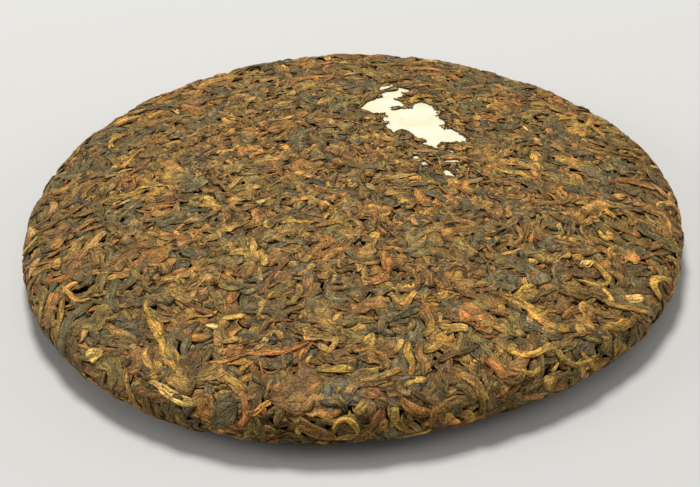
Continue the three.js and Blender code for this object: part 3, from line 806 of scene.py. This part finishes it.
def lay_ticket(bed):
    """Lays the ticket on the leaves so far. Returns its grid's places and heights, and its windows."""
    half_width, half_length, turn = TICKET["width"] / 2, TICKET["length"] / 2, TICKET["turn"]
    side, along = np.meshgrid(np.linspace(-1, 1, TICKET_COLUMNS), np.linspace(-1, 1, TICKET_ROWS))
    x, y = side * half_width, along * half_length
    across = TICKET["x"] + x * math.cos(turn) - y * math.sin(turn)
    up = TICKET["y"] + x * math.sin(turn) + y * math.cos(turn)
    bedding = blurred(bed.height, TICKET_SMOOTHING) + TICKET_RISE
    raw = bedding[bed.cells(across, up)]
    side, along = on_ticket(bed.across, bed.up)
    covered = (np.abs(side) < half_width) & (np.abs(along) < half_length)
    bed.height[covered] = bedding[covered]
    bed.owner[covered] = TICKET_OWNER
    windows = np.any([in_outline(bed.across, bed.up, outline) for outline in WINDOWS], axis=0)
    bed.bare[windows] = WINDOW_WEIGHT
    return across, up, raw, windows


def cover_ticket(bed, rng):
    """Lays leaves on the ticket until it shows only in its windows."""
    for turn in range(COVER_TRIES):
        rows, columns = np.nonzero((bed.owner == TICKET_OWNER) & (bed.bare == 0))
        if len(rows) == 0:
            break
        pick = rng.integers(len(rows))
        place = bed.across[rows[pick], columns[pick]], bed.up[rows[pick], columns[pick]]
        kind = choose(rng, COVER_SHARES)
        colour = choose(rng, COLOUR_SHARES[kind])
        size = None
        if turn > COVER_TRIES / 2:
            kind, size = "crumb", (rng.uniform(*SCRAP_LENGTH), rng.uniform(*SCRAP_WIDTH))
        bed.lay(Leaf(rng, kind, colour, place, rng.uniform(0, math.tau), size), WINDOW_WEIGHT)


def frame_windows(bed, rng):
    """Lays leaves along the outlines of the windows, so that their sides make the windows' edges."""
    for outline in WINDOWS:
        corners = np.reshape(outline, (-1, 2))
        nexts = np.roll(corners, -1, axis=0)
        area = np.sum(corners[:, 0] * nexts[:, 1] - corners[:, 1] * nexts[:, 0]) / 2
        spare = EDGE_SPARE if abs(area) > SMALL_WINDOW else 0
        for start, end in zip(corners, nexts):
            along = end - start
            length = math.hypot(*along)
            if length < LEAST_EDGE:
                continue
            wide = rng.uniform(*EDGE_WIDTH)
            outward = np.sign(area) * np.array([along[1], -along[0]]) / length
            colour = choose(rng, COLOUR_SHARES["broad"])
            heading = math.atan2(along[1], along[0])
            for least, width in ((LONG_EDGE, wide), (0, wide), (0, NARROW_EDGE)):
                place = (start + end) / 2 + outward * width / 2
                size = max(length * EDGE_LENGTH, least), width
                leaf = Leaf(rng, "rolled", colour, place, heading, size, rng.normal(0, EDGE_BEND))
                if bed.lay(leaf, spare):
                    break


def lay_seen(bed, rng):
    """Lays the leaves that stand out in the photograph, and keeps the rest off them."""
    first = len(bed.leaves)
    for kind, colour, x, y, heading, length, width, bend in SEEN_LEAVES:
        place = to_map(x - PHOTO_ORIGIN[0], y - PHOTO_ORIGIN[1])
        leaf = Leaf(rng, kind, colour, place, math.radians(heading), (length, width), math.radians(bend))
        bed.lay(leaf, SEEN_SPARE)
    bed.bare[bed.owner >= first] = 1


def lay_top():
    rng = np.random.default_rng(SEED)
    bed = Bed(TOP_EDGE, False)
    bed.lay_many(rng, TOP_LEAVES[0])
    ticket = lay_ticket(bed)
    bed.lay_many(rng, TOP_LEAVES[1])
    cover_ticket(bed, rng)
    frame_windows(bed, rng)
    lay_seen(bed, rng)
    bed.lay_many(rng, TOP_LEAVES[2], SEEN_OVERLAP)
    bed.press()
    return bed, ticket


def lay_under():
    bed = Bed(UNDER_EDGE, True)
    bed.lay_many(np.random.default_rng(SEED + 1), UNDER_LEAVES)
    bed.press()
    return bed


def add_object(name, data):
    made = bpy.data.objects.new(name, data)
    bpy.context.scene.collection.objects.link(made)
    return made


def smooth_piece(name, mesh, material):
    """A piece of a mesh with a material, shaded smooth all over."""
    mesh.polygons.foreach_set("use_smooth", np.ones(len(mesh.polygons), bool))
    mesh.materials.append(material)
    return add_object(name, mesh)


def add_map(mesh, name, places):
    layer = mesh.uv_layers.new(name=name)
    layer.data.foreach_set("uv", places.astype(np.float32).ravel())


class Batch:
    """Leaves gathered into one mesh, each a closed strip with colours and painted shade at its points and a
    map of its own.
    """

    def __init__(self):
        self.points, self.colours, self.corners, self.counts, self.maps, self.sizes = [], [], [], [], [], []
        self.point_count = 0

    def add(self, leaf, bed, rng):
        rings, around = leaf.across.shape
        lift = bed.pressed(leaf.across, leaf.up, leaf.raw)
        lift[:, : leaf.tops] += leaf.folds
        lift[:, -1] = np.minimum(lift[:, -1], lift[:, : leaf.tops].min(axis=1) - KEEL_GAP)
        self.points.append(on_cake(leaf.across, leaf.up, lift, bed.under).reshape(-1, 3) * MM)
        # The points' colours hold painted shade and painted highlight.
        colours = leaf.colours(rng).reshape(-1, 3)
        self.colours.append(np.column_stack([colours, np.full(len(colours), VEINS[leaf.kind])]))
        ring, column = np.meshgrid(np.arange(rings - 1), np.arange(around), indexing="ij")
        rows = np.stack([ring, ring + 1, ring + 1, ring], axis=-1).reshape(-1, 4)
        columns = np.stack([column, column, column + 1, column + 1], axis=-1).reshape(-1, 4)
        start, end = np.arange(around), np.arange(around)[::-1] + (rings - 1) * around
        if bed.under:
            rows, columns = rows[:, ::-1], columns[:, ::-1]
            start, end = start[::-1], end[::-1]
        sides = (rows * around + columns % around).ravel()
        self.corners += [face + self.point_count for face in (sides, start, end)]
        self.counts += [np.full(len(rows), 4), [around, around]]
        self.maps.append(leaf_map(leaf, rows.ravel(), columns.ravel(), start, end))
        self.sizes.append((leaf.way[-1] - leaf.way[0] + 2 * CAP, leaf.width * (1 + BACK_SHARE)))
        self.point_count += rings * around

    def build(self, name, material):
        points = np.concatenate(self.points)
        corners = np.concatenate(self.corners)
        counts = np.concatenate(self.counts)
        mesh = bpy.data.meshes.new(name)
        mesh.vertices.add(len(points))
        mesh.vertices.foreach_set("co", points.astype(np.float32).ravel())
        mesh.loops.add(len(corners))
        mesh.loops.foreach_set("vertex_index", corners.astype(np.int32))
        mesh.polygons.add(len(counts))
        starts = np.concatenate([[0], np.cumsum(counts)[:-1]])
        mesh.polygons.foreach_set("loop_start", starts.astype(np.int32))
        mesh.update(calc_edges=True)
        colours = mesh.color_attributes.new("leaf_colour_and_shade", "FLOAT_COLOR", "POINT")
        colours.data.foreach_set("color", np.concatenate(self.colours).astype(np.float32).ravel())
        offsets, side = pack_rectangles(self.sizes)
        placed = np.concatenate([places + offset for places, offset in zip(self.maps, offsets)])
        add_map(mesh, "leaf_map", placed)
        add_map(mesh, "OFBake", placed / side)
        mesh.validate()
        return smooth_piece(name, mesh, material)


def leaf_map(leaf, rows, columns, start, end):
    """Each corner's way round a leaf and along it, in millimetres."""
    around = leaf.tops + 1
    back = leaf.width * np.array([1 + BACK_SHARE / 2, 1 + BACK_SHARE])
    round_way = np.concatenate([leaf.width * (1 + leaf.side) / 2, back])
    sides = np.stack([round_way[columns], leaf.way[rows] - leaf.way[0] + CAP], axis=1)
    is_keel = np.arange(around) == leaf.tops
    length = leaf.way[-1] - leaf.way[0]
    near = np.stack([round_way[:-1], np.where(is_keel, 0, CAP)], axis=1)
    far = np.stack([round_way[:-1], length + CAP + np.where(is_keel, CAP, 0)], axis=1)
    return np.concatenate([sides, near[start % around], far[end % around]])


def pack_rectangles(sizes):
    """Sets rectangles side by side in rows, the longest first. Returns each one's offset, and the side of
    the square that holds them."""
    sizes = np.asarray(sizes) + MAP_SPACE
    across = math.sqrt(sizes.prod(axis=1).sum()) * PACK_SPARE
    offsets = np.zeros_like(sizes)
    x = y = row = 0
    for index in np.argsort(-sizes[:, 0]):
        length, width = sizes[index]
        if x + width > across:
            x, y, row = 0, y + row, 0
        offsets[index] = x, y
        x += width
        row = max(row, length)
    return offsets, max(across, y + row)


def leaf_pieces(bed, prefix, seed, materials, plain):
    """Builds a piece for each kind and colour of a face's leaves, of those that show enough."""
    rng = np.random.default_rng(seed)
    batches = {name: Batch() for name in PIECES}
    for number, (leaf, area) in enumerate(zip(bed.leaves, bed.shown_areas())):
        if area < LEAST_SHOWN:
            continue
        bed.crop(number)
        if area < WELL_SHOWN:
            leaf.thin_out()
        for name, (kinds, colours) in PIECES.items():
            if leaf.kind in kinds and leaf.colour in colours:
                batches[name].add(leaf, bed, rng)
    filled = {name: batch for name, batch in batches.items() if batch.sizes}
    return [batch.build(prefix + name, materials.get(name, plain)) for name, batch in filled.items()]


def feed(tree, target, inputs):
    """Gives a node's inputs their sockets or their values."""
    for name, value in inputs.items():
        if isinstance(value, bpy.types.NodeSocket):
            tree.links.new(value, target.inputs[name])
        else:
            target.inputs[name].default_value = value


def node(tree, kind, inputs, **settings):
    made = tree.nodes.new("ShaderNode" + kind)
    for name, value in settings.items():
        setattr(made, name, value)
    feed(tree, made, inputs)
    return made


def new_material(name):
    material = bpy.data.materials.new(name)
    material.use_nodes = True
    tree = material.node_tree
    return material, tree, tree.nodes["Principled BSDF"]


def on_map(tree):
    return node(tree, "UVMap", {}, uv_map="leaf_map").outputs["UV"]


def scaled(tree, place, scale):
    """The inputs of a pattern with its own scale across a piece's map and along it."""
    spread = node(tree, "Mapping", {"Vector": place, "Scale": (*scale, 1)})
    return {"Vector": spread.outputs["Vector"], "Scale": 1}


def noise_on_map(tree, scale, detail, output="Fac"):
    inputs = scaled(tree, on_map(tree), scale) | {"Detail": detail}
    return node(tree, "TexNoise", inputs).outputs[output]


def multiply_add(tree, *values):
    inputs = dict(enumerate(values))
    return node(tree, "VectorMath", inputs, operation="MULTIPLY_ADD").outputs["Vector"]


def creased(tree, scale, warp):
    """Facets between creases on a map: the way to the nearest crease, and a colour for each facet."""
    shift = noise_on_map(tree, BLOTCH_SCALE, 1, "Color")
    inputs = scaled(tree, multiply_add(tree, shift, (warp, warp, 0), on_map(tree)), scale)
    crease = node(tree, "TexVoronoi", inputs, voronoi_dimensions="2D", feature="DISTANCE_TO_EDGE")
    facet = node(tree, "TexVoronoi", inputs, voronoi_dimensions="2D", feature="F1")
    return crease.outputs["Distance"], facet.outputs["Color"]


def ranged(tree, value, results, limits=NOISE_RANGE):
    """A value between two limits as one between two results."""
    names = ("Value", "From Min", "From Max", "To Min", "To Max")
    inputs = dict(zip(names, (value, *limits, *results)))
    return node(tree, "MapRange", inputs).outputs["Result"]


def multiplied(tree, colour, factor):
    made = node(tree, "VectorMath", {0: colour, 1: factor}, operation="MULTIPLY")
    return made.outputs["Vector"]


def tinted(tree, colour, share, low, high):
    """A colour times a tint that goes from low to high, by a share or by a share for each channel."""
    span = tuple(b - a for a, b in zip(low, high))
    return multiplied(tree, colour, multiply_add(tree, share, span, low))


def bumped(tree, height, size, strength=1, under=None):
    """The normal over a pattern's bumps, with their size in millimetres, on that of the bumps under them."""
    inputs = {"Height": height, "Distance": size * MM, "Strength": strength}
    if under:
        inputs["Normal"] = under
    return node(tree, "Bump", inputs).outputs["Normal"]


def ramped(tree, value, stops):
    made = node(tree, "ValToRGB", {"Fac": value})
    for element, (place, colour) in zip(made.color_ramp.elements, stops):
        element.color = (*linear(colour), 1)
        element.position = place
    return made.outputs["Color"]


def leaf_material(name, roughness, sheen):
    """Dry leaf: each leaf's colour and painted shade from its points, with lengthwise veins and wrinkles,
    painted shade along the creases between facets, and a faint gloss.
    """
    material, tree, shader = new_material(name)
    # The colour at the leaf's points, which holds its painted shade and painted highlight.
    leaf = node(tree, "Attribute", {}, attribute_name="leaf_colour_and_shade")
    own, veined = leaf.outputs["Color"], leaf.outputs["Alpha"]
    veins = noise_on_map(tree, VEIN_SCALE, 3)
    specks = noise_on_map(tree, SPECK_SCALE, 3)
    blotches = noise_on_map(tree, BLOTCH_SCALE, 2)
    creases, facets = creased(tree, FACET_SCALE, FACET_WARP)
    shade = node(tree, "SeparateXYZ", {"Vector": facets}).outputs["X"]
    vein_shades = [ranged(tree, veined, (1, most), WHOLE) for most in VEIN_SHADES]
    colour = multiplied(tree, own, ranged(tree, veins, vein_shades, VEIN_RANGE))
    colour = multiplied(tree, colour, ranged(tree, specks, SPECK_SHADES))
    colour = multiplied(tree, colour, ranged(tree, blotches, BLOTCH_SHADES))
    # Painted shade: darker and redder along the creases.
    colour = tinted(tree, colour, ranged(tree, creases, WHOLE, CREASE_RANGE), *CREASE_PAINTED_SHADE)
    colour = multiplied(tree, colour, ranged(tree, shade, FACET_SHADES, WHOLE))
    colour = tinted(tree, colour, facets, *FACET_TINTS)
    colour = tinted(tree, colour, ranged(tree, shade, WHOLE, RUDDY_RANGE), *RUDDY_TINTS)
    folded = bumped(tree, ranged(tree, creases, WHOLE, CREASE_SLOPE), *CREASE_BUMP)
    wrinkles = noise_on_map(tree, WRINKLE_SCALE, 4)
    strength = ranged(tree, veined, WRINKLE_STRENGTHS, WHOLE)
    feed(tree, shader, {
        "Base Color": colour,
        "Roughness": ranged(tree, blotches, roughness),
        "Sheen Weight": sheen,
        "Sheen Roughness": 0.5,
        "Specular IOR Level": 0.22,
        "Normal": bumped(tree, wrinkles, WRINKLE_HEIGHT, strength, folded),
    })
    return material


def core_material():
    material, tree, shader = new_material("packed_leaf_shaded")
    noise = node(tree, "TexNoise", {"Scale": CORE_NOISE, "Detail": 5}).outputs["Fac"]
    feed(tree, shader, {
        # Painted shade: the core is darker than the leaves, for the gaps where it shows.
        "Base Color": ramped(tree, noise, CORE_SHADED_STOPS),
        "Roughness": 0.85,
        "Normal": bumped(tree, noise, CORE_HEIGHT),
    })
    return material


def paper_material():
    """Thin cream paper with faint fibres and a soft crumple from the leaves under it."""
    material, tree, shader = new_material("ticket_paper")
    stains = ramped(tree, noise_on_map(tree, STAIN_SCALE, 3), PAPER_STOPS)
    fibres = ranged(tree, noise_on_map(tree, FIBRE_SCALE, 6), FIBRE_SHADES)
    crumple = noise_on_map(tree, CRUMPLE_SCALE, 4)
    feed(tree, shader, {
        "Base Color": multiplied(tree, stains, fibres),
        "Roughness": 0.8,
        "Normal": bumped(tree, crumple, *PAPER_BUMP),
    })
    return material


def ticket_piece(bed, ticket):
    """The ticket as a thin sheet, its upper and lower layers closed along the edges."""
    across, up, raw, windows = ticket
    near_window = np.clip(WINDOW_GAIN * blurred(windows.astype(float), WINDOW_FADE), 0, 1)
    lift = bed.pressed(across, up, raw) - between(TICKET_SINK, near_window[bed.cells(across, up)])
    points = np.stack([on_cake(across, up, lift + thick, False) for thick in (TICKET_THICKNESS, 0)])
    over, under = np.arange(2 * across.size).reshape(2, *across.shape)
    edge = np.concatenate([over[0, :-1], over[:-1, -1], over[-1, :0:-1], over[:0:-1, 0]])
    next_edge = np.roll(edge, -1)
    quads = np.concatenate([
        np.stack([over[:-1, :-1], over[:-1, 1:], over[1:, 1:], over[1:, :-1]], axis=-1).reshape(-1, 4),
        np.stack([under[:-1, :-1], under[1:, :-1], under[1:, 1:], under[:-1, 1:]], axis=-1).reshape(-1, 4),
        np.stack([edge, edge + across.size, next_edge + across.size, next_edge], axis=-1),
    ])
    mesh = bpy.data.meshes.new("paper_sheet")
    mesh.from_pydata((points.reshape(-1, 3) * MM).tolist(), [], quads.tolist())
    flat = np.stack(on_ticket(across, up), axis=-1).reshape(-1, 2)
    add_map(mesh, "leaf_map", np.concatenate([flat, flat])[quads.ravel()])
    return smooth_piece("paper_sheet", mesh, paper_material())


def core_piece():
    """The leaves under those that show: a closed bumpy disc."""
    rng = np.random.default_rng(SEED + 2)
    reach = np.linspace(0, PROFILE.whole, CORE_RINGS)[1:-1, None]
    angle = np.linspace(0, math.tau, CORE_SEGMENTS, endpoint=False)[None, :]
    lift = CORE_BUMP * rng.uniform(-1, 1, (len(reach), CORE_SEGMENTS)) - CORE_DEPTH
    points = on_cake(reach * np.cos(angle), reach * np.sin(angle), lift, False).reshape(-1, 3)
    ends = np.array([[0, 0, CENTRE_HEIGHT - CORE_DEPTH], [0, 0, HOLLOW_DEPTH + CORE_DEPTH]])
    index = np.arange(len(points)).reshape(len(reach), CORE_SEGMENTS)
    turned = np.roll(index, -1, axis=1)
    faces = np.stack([index[:-1], index[1:], turned[1:], turned[:-1]], axis=-1).reshape(-1, 4).tolist()
    top, bottom = len(points), len(points) + 1
    faces += [(top, a, b) for a, b in zip(index[0].tolist(), turned[0].tolist())]
    faces += [(bottom, b, a) for a, b in zip(index[-1].tolist(), turned[-1].tolist())]
    mesh = bpy.data.meshes.new("leaf_core")
    mesh.from_pydata((np.concatenate([points, ends]) * MM).tolist(), [], faces)
    return smooth_piece("leaf_core", mesh, core_material())


def add_pieces():
    materials = {name: leaf_material(*finish) for name, finish in FINISHES.items()}
    plain = leaf_material(*PLAIN_FINISH)
    top, ticket = lay_top()
    pieces = leaf_pieces(top, "", SEED + 3, materials, plain)
    pieces += leaf_pieces(lay_under(), "under_", SEED + 4, materials, plain)
    pieces.append(core_piece())
    for piece in pieces:
        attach(piece, "root")
        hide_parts("tea_cake")
    sheet = ticket_piece(top, ticket)
    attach(sheet, "root")
    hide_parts("paper_ticket")


def add_light(name, place, size, power, colour):
    """A round light that points at the origin."""
    light = bpy.data.lights.new(name, "AREA")
    light.shape = "DISK"
    light.size = size
    light.energy = power
    light.color = colour
    lamp = add_object(name, light)
    lamp.location = place
    lamp.rotation_euler = (-Vector(place)).to_track_quat("-Z", "Y").to_euler()


def swung(first, second, angle):
    """Two crossed axes turned in their plane, the first towards the second."""
    cosine, sine = math.cos(angle), math.sin(angle)
    return first * cosine + second * sine, second * cosine - first * sine


def add_camera():
    rise = math.radians(CAMERA_RISE)
    right = Vector((1, 0, 0))
    up = Vector((0, math.sin(rise), math.cos(rise)))
    ahead = Vector((0, math.cos(rise), -math.sin(rise)))
    right, ahead = swung(right, ahead, math.atan(CAMERA_AIM_PIXELS[0] / FOCUS_PIXELS))
    up, ahead = swung(up, ahead, -math.atan(CAMERA_AIM_PIXELS[1] / FOCUS_PIXELS))
    right, up = swung(right, up, -math.radians(CAMERA_ROLL))
    place = Vector((
        -PHOTO_ORIGIN[0],
        -CAMERA_DISTANCE * math.cos(rise) - PHOTO_ORIGIN[1],
        CAMERA_DISTANCE * math.sin(rise) + CAMERA_AIM_HEIGHT,
    ))
    data = bpy.data.cameras.new("camera")
    data.sensor_width = SENSOR
    data.lens = FOCUS_PIXELS * SENSOR / PHOTO_WIDTH
    camera = add_object("camera", data)
    axes = Matrix((right, up, -ahead)).transposed().to_4x4()
    camera.matrix_world = Matrix.Translation(place * MM) @ axes
    bpy.context.scene.camera = camera


def add_floor():
    material, tree, shader = new_material("floor_pale")
    feed(tree, shader, {"Base Color": (0.5, 0.5, 0.49, 1), "Roughness": 0.9})
    corners = [(x * FLOOR_HALF, y * FLOOR_HALF, 0) for x, y in ((-1, -1), (1, -1), (1, 1), (-1, 1))]
    mesh = bpy.data.meshes.new("floor")
    mesh.from_pydata(corners, [], [(0, 1, 2, 3)])
    mesh.materials.append(material)
    floor = add_object("floor", mesh)


def add_world():
    world = bpy.data.worlds.new("world")
    bpy.context.scene.world = world
    world.use_nodes = True
    sky = world.node_tree.nodes["Background"]
    feed(world.node_tree, sky, {"Color": (1, 1, 1, 1), "Strength": WORLD_STRENGTH})
    bpy.context.scene.view_settings.view_transform = "Standard"


add_pieces()
add_floor()
add_camera()
for settings in LIGHTS:
    add_light(*settings)
add_world()
